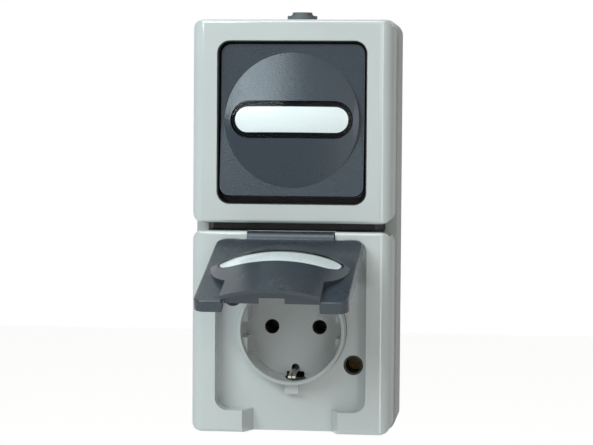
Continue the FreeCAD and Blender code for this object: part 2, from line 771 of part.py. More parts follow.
def socket_cover():
    shell = cover_form("socket_cover", "-")
    recess_height = "(recess_bottom - recess_top)"
    recess_z = "-(recess_bottom + recess_top) / 2"
    floor = RECESS_LEVEL + " - cover_face"
    tub = plate("recess_tub", "recess_width + 2 * recess_wall", recess_height + " + 2 * recess_wall",
                "recess_corner + recess_wall", floor, "front_level - cover_face / 2", z=recess_z)
    bottom = "-(cover_height + cover_gap / 2)"
    porch = block("notch_porch", ("-notch_front / 2 - notch_wall", "notch_front / 2 + notch_wall"),
                  (floor, "front_level - edge_round"), (bottom + " + cover_wall / 2", "-recess_bottom + 2"))
    recess = plate("recess", "recess_width", recess_height, "recess_corner", RECESS_LEVEL,
                   "front_level + 1", z=recess_z)
    notch = body("finger_notch")
    sketch = sketch_on(notch, "XY_Plane", bottom + " - 1")
    flare = "(notch_front - notch_floor) / 2 / recess_depth"
    polygon(sketch, (("-notch_floor / 2", "-" + RECESS_LEVEL), ("notch_floor / 2", "-" + RECESS_LEVEL),
                     ("notch_front / 2 + " + flare, "-front_level - 1"),
                     ("-notch_front / 2 - " + flare, "-front_level - 1")))
    pad(notch, sketch, "-recess_bottom + 3 - (%s - 1)" % bottom)
    tubes, wells = cover_bosses("socket_cover", "-", RECESS_LEVEL, "post_level + boss_seat")
    half = "hinge_width / 2 + hinge_side_gap"
    gate = block("hinge_gate", ("-(%s)" % half, half),
                 (HINGE_LEVEL + " - hinge_radius - 0.4", "front_level + 1"),
                 ("-hinge_drop + 0.5", "-cover_gap / 2 + 1"))
    lugs = [rod_across("hinge_lug%d" % index, "lug_radius", *ends, HINGE_LEVEL, "-hinge_drop")
            for index, ends in enumerate(((half, half + " + lug_width"),
                                          ("-(%s) - lug_width" % half, "-(%s)" % half)))]
    lugs += [block("hinge_root%d" % index, ends, (HINGE_LEVEL + " - lug_radius", HINGE_LEVEL + " + lug_radius"),
                   ("-hinge_drop", "-recess_top + 0.5"))
             for index, ends in enumerate(((half, half + " + lug_width"),
                                           ("-(%s) - lug_width" % half, "-(%s)" % half)))]
    eye = rod_across("hinge_eye", "hinge_pin", "-(%s) - lug_width" % half + " + 0.6",
                     half + " + lug_width - 0.6", HINGE_LEVEL, "-hinge_drop")
    latch = block("latch_boss", ("-latch_width / 2", "latch_width / 2"),
                  (RECESS_LEVEL + " - 1", "front_level - latch_depth"),
                  ("-latch_bottom", "-well_z - ring_radius - snug"))
    hole = rod_out("well_hole", "ring_radius + snug", floor + " - 1", "front_level + 1", "0", "-well_z")
    solid = join("socket_cover_solid", shell, tub, porch, *tubes)
    opened = cut("socket_cover_open", solid, recess, notch, gate)
    with_lugs = join("socket_cover_lugs", opened, latch, *lugs)
    node("socket_cover", cut("socket_cover", with_lugs, hole, eye, *wells))


def cover_screws(label, side, seat):
    """Two screws, one at each boss of a cover."""
    screws = []
    for index, (x, z) in enumerate(COVER_SCREWS):
        z = plus(side + "(" + MODULE_Z + ")", z)
        screws.append(cross_screw("%s%d" % (label, index), "screw_head", "screw_head_height", "screw_shank",
                                  seat + " + screw_head_height", "post_level - screw_bite", x, z))
    node(label, group(label, *screws))


# Rocker, modelled about its pivot

def seat_rocker(item):
    return place(item, PIVOT_LEVEL, OPENING_Z, "-rocker_throw")


def rocker_crown(name, offset):
    return crown(name, "rocker_crown", offset, "island_slope", "island_slope",
                 "pivot_depth + island_rise", "0")


def rocker():
    shell = body("rocker_shell")
    sketch = sketch_on(shell, "YZ_Plane")
    half = "rocker_height / 2"
    rear = "-(pivot_depth - rocker_side)"
    polygon(sketch, (("-pivot_depth", half), ("-pivot_depth + rocker_dish", "0"), ("-pivot_depth", "-" + half),
                     (rear, "-" + half), (rear, half)))
    pad(shell, sketch, "rocker_width", midplane=True)
    hollow = sketch_on(shell, "YZ_Plane")
    inner = "rocker_height / 2 - rocker_wall"
    front = "-pivot_depth + rocker_wall"
    polygon(hollow, ((front, inner), (front + " + rocker_dish", "0"), (front, "-(%s)" % inner),
                     (rear + " + 1", "-(%s)" % inner), (rear + " + 1", inner)))
    pocket(shell, hollow, "rocker_width - 2 * rocker_wall", midplane=True)
    outline = plate("rocker_outline", "rocker_width", "rocker_height", "rocker_corner",
                    "pivot_depth - rocker_side - 1", "pivot_depth + 1")
    disc = rod_out("rocker_disc", "island_radius", "pivot_depth - rocker_wall - rocker_dish / 2",
                   "pivot_depth + 2 * island_rise")
    island = common("rocker_island", disc, rocker_crown("rocker_roof", "0"))
    clips = []
    for index, sign in enumerate(("", "-")):
        inner_face = sign + "clip_x"
        outer_face = sign + "(clip_x + clip_wall)"
        ends = (outer_face, inner_face) if sign else (inner_face, outer_face)
        clips.append(block("rocker_clip%d" % index, ends,
                           ("clip_reach", "pivot_depth - rocker_wall - rocker_dish / 2 + 0.5"),
                           ("-clip_height / 2", "clip_height / 2")))
    solid = join("rocker_solid", common("rocker_cap", shell, outline), island, *clips)
    window = cut("rocker_window_way",
                 pill("rocker_window_pill", "window_width", "window_height", "pivot_depth - rocker_wall",
                      "pivot_depth + 2 * island_rise", grow="snug"),
                 rocker_crown("rocker_window_bed", "window_thick"))
    node("rocker", seat_rocker(cut("rocker", solid, window)))


def rocker_trim():
    """The clear window and the paper label that lies in its back."""
    low = "pivot_depth - rocker_wall"
    high = "pivot_depth + 2 * island_rise"
    window = common("rocker_lens", pill("rocker_lens_pill", "window_width", "window_height", low, high),
                    rocker_crown("rocker_lens_top", "0"))
    bed = rocker_crown("rocker_lens_under", "window_thick")
    label_room = common("rocker_label_room", pill("rocker_label_way", "label_width", "label_height", low, high,
                                                  grow="snug"),
                        rocker_crown("rocker_label_roof", "label_cover - 0.05"))
    node("rocker_window", seat_rocker(cut("rocker_window", window, bed, label_room)))
    label = common("rocker_paper", pill("rocker_label_pill", "label_width", "label_height", low, high),
                   rocker_crown("rocker_label_top", "label_cover"))
    node("rocker_label", seat_rocker(cut("rocker_label", label, rocker_crown("rocker_label_bed",
                                                                            "window_thick"))))


def cradle():
    """The inner rocker of the mechanism, with its trunnions; the outer rocker clips over it."""
    core = block("cradle_core", ("-clip_x", "clip_x"), ("-cradle_rear", "cradle_front"),
                 ("-cradle_height / 2", "cradle_height / 2"))
    trunnions = rod_across("cradle_trunnions", "trunnion_radius", "-" + EAR_OUTSIDE, EAR_OUTSIDE, "0", "0")
    stem = rod_out("cradle_stem", "plunger_radius + 1.4", "-cradle_rear - 1.5", "0")
    bore = rod_out("cradle_bore", "plunger_radius + 0.02", "-cradle_rear - 3", "-1")
    lighten = block("cradle_hollow", ("-clip_x + 2", "clip_x - 2"), ("1", "cradle_front + 1"),
                    ("-cradle_height / 2 + 2", "cradle_height / 2 - 2"))
    node("rocker_cradle", seat_rocker(cut("rocker_cradle", join("cradle_solid", core, trunnions, stem),
                                          bore, lighten)))
    shaft = rod_out("plunger_shaft", "plunger_radius", "-%s + plunger_radius" % PLUNGER_REACH, "-1")
    tip = bind(doc.addObject("Part::Sphere", "plunger_tip"), Radius="plunger_radius",
               Placement__Base__y=PLUNGER_REACH + " - plunger_radius")
    node("switch_plunger", seat_rocker(join("switch_plunger", shaft, tip)))


# Switch mechanism

def switch_mechanism():
    middle = OPENING_Z
    mount = "(" + MODULE_Z + ")"
    core = block("mech_core", ("-mech_width / 2", "mech_width / 2"), ("mech_rear", "mech_front"),
                 (minus(middle, "mech_height / 2"), plus(middle, "mech_height / 2")))
    ears = []
    bores = []
    for index, ends in enumerate(((EAR_INSIDE, EAR_OUTSIDE), ("-" + EAR_OUTSIDE, "-" + EAR_INSIDE))):
        ears.append(block("mech_ear%d" % index, ends, ("mech_front - 1", PIVOT_LEVEL),
                          (minus(middle, "ear_height / 2"), plus(middle, "ear_height / 2"))))
        ears.append(rod_across("mech_ear_top%d" % index, "ear_height / 2", *ends, PIVOT_LEVEL, middle))
        bores.append(rod_across("mech_bore%d" % index, "trunnion_radius + pin_fit", *ends, PIVOT_LEVEL,
                                middle))
    chamber = block("mech_chamber", ("-chamber_width / 2", "chamber_width / 2"),
                    ("chamber_floor", "mech_front + 1"),
                    (minus(middle, "chamber_height / 2"), plus(middle, "chamber_height / 2")))
    reach = "seesaw_reach + 0.3"
    journal = rod_across("mech_journal", "seesaw_pin + pin_fit", "-(%s)" % reach, reach, SEESAW_LEVEL, middle)
    slot = block("mech_slot", ("-(%s)" % reach, reach), (SEESAW_LEVEL, "mech_front + 1"),
                 (minus(middle, "seesaw_pin + pin_fit"), plus(middle, "seesaw_pin + pin_fit")))
    steps = [block("mech_step%d" % index, ("-mech_width / 2 - 1", "mech_width / 2 + 1"),
                   ("mech_front - 4", "mech_front + 1"), ends)
             for index, ends in enumerate(((plus(middle, "mech_height / 2 - 9"), plus(middle, "mech_height")),
                                           (minus(middle, "mech_height"), minus(middle, "mech_height / 2 - 9"))))]
    node("switch_body", cut("switch_body", join("mech_solid", core, *ears), chamber, journal, slot,
                            *bores, *steps))

    outline = plate("frame_outline", "frame_width", "frame_height", "base_corner / 2", "frame_level",
                    "frame_level + frame_thick", z=mount)
    way = block("frame_way", ("-mech_width / 2", "mech_width / 2"),
                ("frame_level - 1", "frame_level + 3"),
                (minus(middle, "mech_height / 2"), plus(middle, "mech_height / 2")))
    holes = [rod_out("frame_clear%d" % index, "boss_radius + 0.4", "frame_level - 1", "frame_level + 3", x,
                     plus(mount, z)) for index, (x, z) in enumerate(COVER_SCREWS)]
    holes += [rod_out("frame_hole%d" % index, "fixing_shank + 0.2", "frame_level - 1", "frame_level + 3", x,
                      mount) for index, x in enumerate(("fixing_x", "-fixing_x"))]
    node("switch_frame", cut("switch_frame", outline, way, *holes))
    node("switch_fixing_screws", group("switch_fixing_screws", *[
        cross_screw("switch_fixing%d" % index, "fixing_head", "1.8", "fixing_shank - 0.02",
                    "frame_level + frame_thick + 1.8", "frame_level - screw_bite + 1", x, mount)
        for index, x in enumerate(("fixing_x", "-fixing_x"))]))


def seesaw():
    """The contact seesaw on its two stub pins, modelled about the pins."""
    bar = block("seesaw_bar", ("-seesaw_width / 2", "seesaw_width / 2"),
                ("0", "seesaw_thick"), ("-seesaw_length / 2", "seesaw_length / 2"))
    pins = rod_across("seesaw_pins", "seesaw_pin", "-seesaw_reach", "seesaw_reach", "0", "0")
    buttons = [rod_out("seesaw_button%d" % index, "contact_radius", "-contact_rise", "0.5", "0", z)
               for index, z in enumerate(("contact_z", "-contact_z"))]
    node("contact_seesaw", place(join("contact_seesaw", bar, pins, *buttons), SEESAW_LEVEL, OPENING_Z,
                                 "seesaw_throw"))


def fixed_contacts():
    """The fixed contact strips on the chamber's floor, below the ends of the seesaw."""
    strips = []
    for index, sign in enumerate(("", "-")):
        z = plus(OPENING_Z, sign + "contact_z")
        foot = block("fixed_strip%d" % index, ("-contact_radius", "contact_radius"),
                     ("chamber_floor", "chamber_floor + 1"),
                     (minus(z, "3"), plus(z, "3")))
        top = SEESAW_LEVEL + " - contact_rise - contact_z * sin(seesaw_throw) - contact_radius * 0.2 - rest_gap"
        strips.append(join("fixed_contact%d" % index, foot,
                           rod_out("fixed_button%d" % index, "contact_radius", "chamber_floor", top, "0", z)))
    node("fixed_contacts", group("fixed_contacts", *strips))
    screws = []
    for index, (right, up) in enumerate((("", ""), ("-", ""), ("", "-"), ("-", "-"))):
        x = right + "terminal_x"
        z = plus(OPENING_Z, up + "terminal_z")
        screws.append(cross_screw("switch_terminal%d" % index, "terminal_radius", "terminal_rise",
                                  "terminal_radius - 0.6", "mech_front - 4 + terminal_rise",
                                  "mech_front - 4", x, z))
    node("switch_terminal_screws", group("switch_terminal_screws", *screws))


# Socket

def socket_insert():
    """The round well with its lip, guide ribs, pin holes and the slots for the earth fingers."""
    owner = body("well")
    outer = sketch_on(owner, "XZ_Plane", INSERT_REAR)
    circle_outline(outer, "ring_radius", z="-well_z")
    pad(owner, outer, "well_floor + well_depth")
    flange = sketch_on(owner, "XZ_Plane", RECESS_LEVEL + " - cover_face - flange_thick")
    circle_outline(flange, "flange_radius", z="-well_z")
    pad(owner, flange, "flange_thick")
    inner = sketch_on(owner, "XZ_Plane", LIP_LEVEL)
    circle_outline(inner, "well_radius", z="-well_z")
    pocket(owner, inner, "well_depth")
    soften(owner, "(ring_radius - well_radius) * 0.35", at_level(LIP_LEVEL))
    ribs = []
    for index, ends in enumerate((("guide_x", "well_radius + 0.5"), ("-well_radius - 0.5", "-guide_x"))):
        for up, z in enumerate((("-well_z + guide_groove / 2", "-well_z + guide_reach"),
                                ("-well_z - guide_reach", "-well_z - guide_groove / 2"))):
            ribs.append(common("guide_rib%d%d" % (index, up),
                               block("guide_bar%d%d" % (index, up), ends,
                                     (WELL_FLOOR_LEVEL + " - 0.5", WELL_FLOOR_LEVEL + " + guide_rise"), z),
                               rod_out("guide_round%d%d" % (index, up), "well_radius + 0.4",
                                       WELL_FLOOR_LEVEL + " - 1", LIP_LEVEL, "0", "-well_z")))
    ways = []
    low = INSERT_REAR + " - 1"
    for index, sign in enumerate(("", "-")):
        ways.append(rod_out("pin_way%d" % index, "pin_hole", low, WELL_FLOOR_LEVEL + " + 1",
                            sign + "pin_spacing / 2", "-well_z"))
        for name, half, near, far, top in (
                ("wide", "earth_width / 2", "earth_inner", "(ring_radius - 0.9)", "earth_rise"),
                ("lobe", "earth_lobe", "earth_lobe_inner", "(earth_inner + 0.5)", "0.5")):
            ends = ("-well_z - " + far, "-well_z - " + near) if sign else ("-well_z + " + near, "-well_z + " + far)
            ways.append(block("earth_%s%d" % (name, index), ("-" + half, half),
                              (low, WELL_FLOOR_LEVEL + " + " + top), ends))
        ways.append(rod_out("earth_end%d" % index, "earth_lobe", low, WELL_FLOOR_LEVEL + " + 0.5", "0",
                            "-well_z %s earth_lobe_inner" % ("-" if sign else "+")))
    for index, (x, z) in enumerate(COVER_SCREWS):
        ways.append(rod_out("flange_clear%d" % index, "boss_radius + ear_gap", low, RECESS_LEVEL, x,
                            plus("-" + MODULE_Z, z)))
    node("socket_insert", cut("socket_insert", join("well_with_ribs", owner, *ribs), *ways))


def socket_carrier():
    """The rear block that holds the contacts, with the bar that is screwed to the box."""
    top = INSERT_REAR
    middle = "-well_z"
    core = plate("carrier_core", "block_width", "block_height", "3", "block_rear", top, z=middle)
    bar = plate("carrier_bar", "2 * (fixing_x + fixing_post)", "ear_bar", "3", "ear_bar_level",
                "ear_bar_level + ear_bar_thick", z="-" + MODULE_Z)
    ways = []
    for index, sign in enumerate(("", "-")):
        ways.append(rod_out("carrier_way%d" % index, "tube_outer", "tube_rear", top + " + 1",
                            sign + "pin_spacing / 2", middle))
        ways.append(rod_out("carrier_hole%d" % index, "fixing_shank + 0.2", "ear_bar_level - 1", top,
                            sign + "fixing_x", "-" + MODULE_Z))
        ways.append(block("carrier_step%d" % index, ("-block_width", "block_width"),
                          (top + " - 5", top + " + 1"),
                          (minus(middle, "block_height"), minus(middle, "block_height / 2 - 6")) if sign else
                          (plus(middle, "block_height / 2 - 6"), plus(middle, "block_height"))))
    ways.append(block("strap_groove", ("-strap_width / 2 - 0.1", "strap_width / 2 + 0.1"),
                      ("strap_back - strap_thick", top + " + 1"),
                      (minus(middle, "block_height"), plus(middle, "block_height"))))
    node("socket_carrier", cut("socket_carrier", join("carrier_solid", core, bar), *ways))
    node("socket_fixing_screws", group("socket_fixing_screws", *[
        cross_screw("socket_fixing%d" % index, "fixing_head", "1.8", "fixing_shank - 0.02",
                    "ear_bar_level + ear_bar_thick + 1.8", "ear_bar_level - screw_bite + 1", x,
                    "-" + MODULE_Z)
        for index, x in enumerate(("fixing_x", "-fixing_x"))]))
    node("socket_terminal_screws", group("socket_terminal_screws", *[
        cross_screw("socket_terminal%d" % index, "terminal_radius", "terminal_rise",
                    "terminal_radius - 0.6", top + " - 5 + terminal_rise", top + " - 5",
                    x, middle + z)
        for index, (x, z) in enumerate((("block_terminal_x", " - block_terminal_z"),
                                        ("-block_terminal_x", " - block_terminal_z"),
                                        ("-block_terminal_x", " + block_terminal_z")))]))


def pin_contact(label, sign):
    """A slit brass sleeve that grips one plug pin."""
    x = sign + "pin_spacing / 2"
    top = INSERT_REAR + " - tube_drop"
    sleeve = rod_out(label + "_sleeve", "tube_outer", "tube_rear", top, x, "-well_z")
    bore = rod_out(label + "_bore", "tube_inner", "tube_rear + 1", top + " + 1", x, "-well_z")
    slit = block(label + "_slit", (x, x + " %s 5" % ("-" if sign else "+")) if not sign else (x + " - 5", x),
                 ("tube_rear + 2", top + " + 1"),
                 ("-well_z - tube_slit / 2", "-well_z + tube_slit / 2"))
    node(label, cut(label, sleeve, bore, slit))


def earth_strap():
    """A bent strip: flat behind the well's floor, with a sprung finger up through each slot."""
    owner = body("strap")
    sketch = sketch_on(owner, "YZ_Plane")
    back = "strap_back - strap_thick"
    bend = "%s + strap_reach * 0.7" % WELL_FLOOR_LEVEL
    tip = "%s + strap_reach" % WELL_FLOOR_LEVEL
    path = ((back, "strap_z"), ("%s - 0.5" % WELL_FLOOR_LEVEL, "strap_z"), (bend, "strap_nip"),
            (tip, "strap_nip + 1.2"))
    outside = [(level, z) for level, z in path]
    inside = [(level if index else "strap_back", z + " - strap_thick") for index, (level, z) in enumerate(path)]
    lower = [("-(%s)" % level, "-well_z - (%s)" % z) for level, z in outside + inside[::-1]]
    upper = [("-(%s)" % level, "-well_z + (%s)" % z) for level, z in inside + outside[::-1]]
    polygon(sketch, lower + upper)
    pad(owner, sketch, "strap_width", midplane=True)
    slit = block("strap_slit", ("-strap_slit / 2", "strap_slit / 2"),
                 (WELL_FLOOR_LEVEL + " + 2", tip + " + 1"), ("-well_z - well_radius", "-well_z + well_radius"))
    node("earth_strap", cut("earth_strap", owner, slit))


# Lid, modelled closed about its hinge

def seat_lid(item):
    return place(item, HINGE_LEVEL, "-hinge_drop", "-lid_open")


def lid_crown(name, offset):
    return crown(name, "lid_crown", offset, "lid_rise_angle", "lid_fall_angle",
                 "lid_outer + lid_rise", "-lid_circle_z")


def lid_outline(name, inset, low, high):
    """The raised field: a circle and the straight grip below it."""
    round_part = rod_out(name + "_round", "lid_island_radius - (%s)" % inset, low, high, "0", "-lid_circle_z")
    half = "(tab_width / 2 - (%s))" % inset
    grip = block(name + "_grip", ("-" + half, half), (low, high),
                 ("-lid_bottom + (%s)" % inset, "-lid_circle_z"))
    return join(name, round_part, grip)


def lid():
    height = "(lid_bottom - lid_top)"
    middle = "-(lid_bottom + lid_top) / 2"
    rear = "lid_outer - lid_side"
    skin_level = "lid_outer - lid_skin"
    tray = plate("lid_tray", "lid_width", height, "lid_corner", rear, "lid_outer", z=middle)
    soften(tray, "lid_soft", at_level("lid_outer"))
    tray_room = plate("lid_tray_room", "lid_width - 2 * lid_skin", height + " - 2 * lid_skin",
                      "lid_corner - lid_skin", rear + " - 1", skin_level, z=middle)
    edge = block("lid_edge_way", ("-tab_width / 2 + lid_skin / 4", "tab_width / 2 - lid_skin / 4"),
                 (rear + " - 1", "lid_outer + lid_rise"),
                 ("-lid_bottom - 1", "-lid_bottom + front_wall_back"))
    top = "lid_outer + 2 * lid_rise"
    outer_form = common("lid_outer_form", lid_outline("lid_field", "0", skin_level, top),
                        lid_crown("lid_roof", "0"))
    inner_form = common("lid_inner_form", lid_outline("lid_field_room", "lid_skin", rear, top),
                        lid_crown("lid_roof_room", "lid_skin"))
    bed = common("lid_window_bed",
                 pill("lid_window_bed_pill", "lid_window_width", "window_height",
                      "hinge_depth - lip_depth + 2 * rest_gap + gasket_height", top,
                      z="-lid_circle_z", grow="lid_skin"),
                 lid_crown("lid_window_bed_top", "window_thick / 2"))
    bed_room = lid_crown("lid_window_bed_room", "window_thick + lid_skin / 2")
    barrel = rod_across("lid_barrel", "hinge_radius", "-hinge_width / 2", "hinge_width / 2", "0", "0")
    end_wall = common("lid_end_wall",
                      block("lid_end_wall_block", ("-tab_width / 2 + lid_skin / 2", "tab_width / 2 - lid_skin / 2"),
                            ("-front_wall_edge", top),
                            ("-lid_bottom + front_wall_back", "-lid_bottom + front_wall_back + lid_skin")),
                      lid_crown("lid_end_wall_top", "lid_skin / 2"))
    returns = [block("lid_return%d" % index, ends, (rear, skin_level + " + 0.2"),
                     ("-lid_bottom + lid_soft", "-lid_bottom + front_wall_back + lid_skin"))
               for index, ends in enumerate((("tab_width / 2 - lid_skin / 4", "tab_width / 2 + lid_skin * 0.75"),
                                             ("-tab_width / 2 - lid_skin * 0.75",
                                              "-tab_width / 2 + lid_skin / 4")))]
    rib_place = ("0", "-well_z + hinge_drop")
    rib = common("lid_rib", cut("lid_rib_tube",
                                rod_out("lid_rib_outer", "gasket_radius + rib_width / 2",
                                        "hinge_depth - lip_depth + rest_gap + gasket_height", top, *rib_place),
                                rod_out("lid_rib_inner", "gasket_radius - rib_width / 2", "-5", top + " + 1",
                                        *rib_place)),
                 lid_crown("lid_rib_top", "lid_skin / 2"))
    shell = cut("lid_shell", join("lid_outside", tray, outer_form), tray_room, inner_form, edge)
    arch = cut("lid_arch",
               common("lid_arch_form", lid_outline("lid_arch_field", "0", skin_level, top),
                      lid_crown("lid_arch_top", "0")),
               lid_crown("lid_arch_room", "lid_skin"),
               block("lid_arch_keep", ("-lid_width", "lid_width"), ("-lid_width", "lid_width"),
                     ("-lid_bottom + front_wall_back + 1", "0")))
    solid = join("lid_solid", shell, arch, cut("lid_bed", bed, bed_room), barrel, end_wall, rib, *returns)
    window = cut("lid_window_way",
                 pill("lid_window_pill", "lid_window_width", "window_height", skin_level, top,
                      z="-lid_circle_z", grow="snug"),
                 lid_crown("lid_window_under", "window_thick"))
    pin = rod_across("lid_pin_way", "hinge_pin + pin_fit", "-hinge_width", "hinge_width", "0", "0")
    latch = block("lid_latch_way", ("-latch_notch_width / 2", "latch_notch_width / 2"),
                  ("-front_wall_edge - 1", "-front_wall_edge + latch_notch_rise"),
                  ("-lid_bottom + front_wall_back - 0.5", "-lid_bottom + front_wall_back + lid_skin + 0.5"))
    node("lid", seat_lid(cut("lid", solid, window, pin, latch)))


def lid_trim():
    """Window, label and gasket of the lid, and the pin that it turns on."""
    low = "lid_outer - lid_skin"
    high = "lid_outer + 2 * lid_rise"
    at = {"z": "-lid_circle_z"}
    window = common("lid_lens", pill("lid_lens_pill", "lid_window_width", "window_height", low, high, **at),
                    lid_crown("lid_lens_top", "0"))
    room = common("lid_label_room", pill("lid_label_way", "lid_label_width", "lid_label_height", low, high,
                                         grow="snug", **at),
                  lid_crown("lid_label_roof", "label_cover - 0.05"))
    node("lid_window", seat_lid(cut("lid_window", window, lid_crown("lid_lens_under", "window_thick"), room)))
    label = common("lid_paper", pill("lid_label_pill", "lid_label_width", "lid_label_height", low, high, **at),
                   lid_crown("lid_label_top", "label_cover"))
    node("lid_label", seat_lid(cut("lid_label", label, lid_crown("lid_label_bed", "window_thick"))))
    place_z = ("0", "-well_z + hinge_drop")
    base = "hinge_depth - lip_depth + rest_gap"
    node("lid_gasket", seat_lid(cut("lid_gasket",
                                    rod_out("gasket_outer", "gasket_radius + gasket_width / 2", base,
                                            base + " + gasket_height", *place_z),
                                    rod_out("gasket_inner", "gasket_radius - gasket_width / 2", base + " - 1",
                                            base + " + gasket_height + 1", *place_z))))
    reach = "hinge_width / 2 + hinge_side_gap + lug_width - 0.8"
    node("hinge_pin", rod_across("hinge_pin", "hinge_pin", "-(%s)" % reach, reach, HINGE_LEVEL,
                                 "-hinge_drop"))


base_box()
cover_seal("switch_cover_seal", "")
cover_seal("socket_cover_seal", "-")
joint_strip()
grommet()
switch_cover()
rocker_lining()
cover_screws("switch_cover_screws", "", "web_level - 2 * web_thick")
rocker()
rocker_trim()
cradle()
switch_mechanism()
seesaw()
fixed_contacts()
socket_cover()
screw_sleeves()
cover_screws("socket_cover_screws", "-", "post_level + boss_seat")
socket_insert()
socket_carrier()
pin_contact("left_contact", "-")
pin_contact("right_contact", "")
earth_strap()
lid()
lid_trim()
doc.recompute()

for item in doc.Objects:
    if "Invalid" in item.State or "Error" in item.State:
        raise RuntimeError("%s failed: %s" % (item.Name, item.State))
    if item.TypeId == "PartDesign::Pocket" and item.Shape.Volume >= item.BaseFeature.Shape.Volume:
        raise RuntimeError("%s cuts nothing" % item.Name)
os.makedirs("parts", exist_ok=True)
for label, item in nodes.items():
    if item.Shape.isNull() or not item.Shape.isValid():
        raise RuntimeError("%s has no valid shape" % label)
    item.Shape.exportStep("parts/%s.step" % label)
    box = item.Shape.BoundBox
    print("%-24s solids %d  x %.1f..%.1f  y %.1f..%.1f  z %.1f..%.1f" % (
        label, len(item.Shape.Solids), box.XMin, box.XMax, box.YMin, box.YMax, box.ZMin, box.ZMax))
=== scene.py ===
"""Looks of a light grey splash-proof wall unit: a rocker switch above a socket with a hinged lid."""

import json
import math

import bmesh
import bpy
from mathutils import Matrix, Vector
from mathutils.bvhtree import BVHTree


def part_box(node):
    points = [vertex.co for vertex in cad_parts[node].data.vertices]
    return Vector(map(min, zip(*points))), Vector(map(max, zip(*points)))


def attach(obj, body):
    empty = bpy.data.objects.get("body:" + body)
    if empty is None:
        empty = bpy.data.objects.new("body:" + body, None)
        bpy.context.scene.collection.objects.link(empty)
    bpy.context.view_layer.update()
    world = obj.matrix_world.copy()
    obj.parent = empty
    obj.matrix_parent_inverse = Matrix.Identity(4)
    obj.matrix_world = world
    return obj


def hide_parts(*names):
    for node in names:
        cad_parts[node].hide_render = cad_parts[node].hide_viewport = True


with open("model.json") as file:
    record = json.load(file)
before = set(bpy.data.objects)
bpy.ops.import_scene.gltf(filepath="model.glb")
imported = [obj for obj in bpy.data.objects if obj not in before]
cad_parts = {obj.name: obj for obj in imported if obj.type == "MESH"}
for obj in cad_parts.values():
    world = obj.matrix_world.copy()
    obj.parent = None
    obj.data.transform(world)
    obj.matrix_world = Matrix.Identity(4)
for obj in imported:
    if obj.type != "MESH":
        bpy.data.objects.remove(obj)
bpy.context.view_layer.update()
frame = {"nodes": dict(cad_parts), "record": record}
MM = 0.001

# Joining up of the carried-over surfaces
WELD = 2e-6
FLAT = math.radians(0.5)

# Rounding of moulded edges
EDGE_SEGMENTS = 3
EDGE_TURN = math.radians(34)
EDGE_WEIGHT = 80
WINDOW_EDGE = 0.25 * MM
LABEL_EDGE = 0.1 * MM

# Each window, its label, and how many degrees its face leans at rest
WINDOWS = (("rocker_window", "rocker_label", -4), ("lid_window", "lid_label", -72))
# How squarely a face looks to the front: below the first it is a wall, below the second a back
WALL = 0.3
BACK = -0.5
# Slot of the near-black painted shade on the windows' walls and backs and on the labels' edges
PAINTED_SHADE_SLOT = 1
LABEL_GAP = 0.2 * MM
BACK_LIFT = 0.05 * MM

# How much further out the foot of each end of the joint strip reaches
STRIP_SLOPE = 3.4 * MM
STRIP_EDGE = 0.35 * MM

# Where the duller sides of the housing begin and end, across it in metres
SIDES = (0.0375, 0.0392)
# The well's plastic is the housing's, darkened by this factor as painted shade in the deep well
# under the lid
WELL_PAINTED_SHADE = 0.85
LID_RELIEF = 0.4
# The broad waves of polished plastic stand this many times as high as its fine ripple
BROAD_WAVES = 15

# Colours of the pieces that no setting covers
GROMMET_GREY = (0.085, 0.105, 0.118)
SEAL_GREY = (0.03, 0.034, 0.038)
# Black rubber of the rocker's seal, also black painted shade: the seal in the gap round the rocker,
# the sleeves in the screw wells, the strip deep between the covers
BLACK_RUBBER_AND_SHADE = (0.006, 0.0065, 0.007)
# Near-black painted shade on the windows' rims and the labels' edges, where a clear lens looks dark
RIM_PAINTED_SHADE = (0.008, 0.010, 0.012)
PIN_STEEL = (0.55, 0.56, 0.57)
CARRIER_LIGHT = (0.48, 0.51, 0.51)
# Near-black carrier plastic, darkened also as painted shade in the socket's pin holes
CARRIER_DARK = (0.008, 0.009, 0.01)

# Metal: the stretch of its drawn lines, and the depths in metres over which painted shade darkens it
# further into the socket
DRAWN_INWARDS = (1, 0.1, 1)
DRAWN_ACROSS = (0.1, 1, 1)
EARTH_PAINTED_SHADE = (-0.0255, -0.0175)
PIN_PAINTED_SHADE = (-0.036, -0.03)
PAINTED_SHADE_TONE = 0.025

# Each lamp's place, its width and height, and its tint; a setting of the stage gives its power
LAMPS = {
    "key": ((-0.42, -0.75, 0.44), (0.52, 0.34), (0.93, 0.99, 1.0)),
    "fill": ((0.35, -1.25, 0.45), (0.8, 0.8), (1.0, 0.95, 0.88)),
    "strip": ((0.57, -1.2, 0.1), (0.28, 1.0), (1.0, 0.97, 0.92)),
    "ceiling": ((-0.25, -0.35, 1.0), (0.7, 0.5), (0.96, 1.0, 1.0)),
}
ROOM_TINT = (1.0, 0.985, 0.95, 1)
WHITE = (1, 1, 1)
FLOOR_LEVEL = -0.35
FLOOR_REACH = 3
FLOOR_TONES = ((0.86, 0.86, 0.86), (0.9, 0.9, 0.9))
FLOOR_GLOW = 0.75
SENSOR_WIDTH = 36
NEAREST = 0.01

# A Mix node holds one set of sockets for each kind of data; these are the ones for colours
MIX_INPUTS = (0, 6, 7)
MIX_RESULT = 2

bl_info = {
    "name": "Splash-proof switch and socket",
    "version": (1, 0, 0),
    "blender": (4, 5, 0),
    "location": "View3D > Sidebar > Wall unit",
    "description": "Dresses the packed wall unit in moulded plastic, clear windows and metal",
    "category": "Object",
}


# What a user can change

def colour(name, description, default):
    return bpy.props.FloatVectorProperty(name=name, description=description, subtype="COLOR",
                                         size=3, min=0, max=1, default=default)


def length(name, description, default):
    return bpy.props.FloatProperty(name=name, description=description, unit="LENGTH",
                                   default=default, min=0, precision=5)


def share(name, description, default):
    return bpy.props.FloatProperty(name=name, description=description, subtype="FACTOR",
                                   default=default, min=0, max=1)


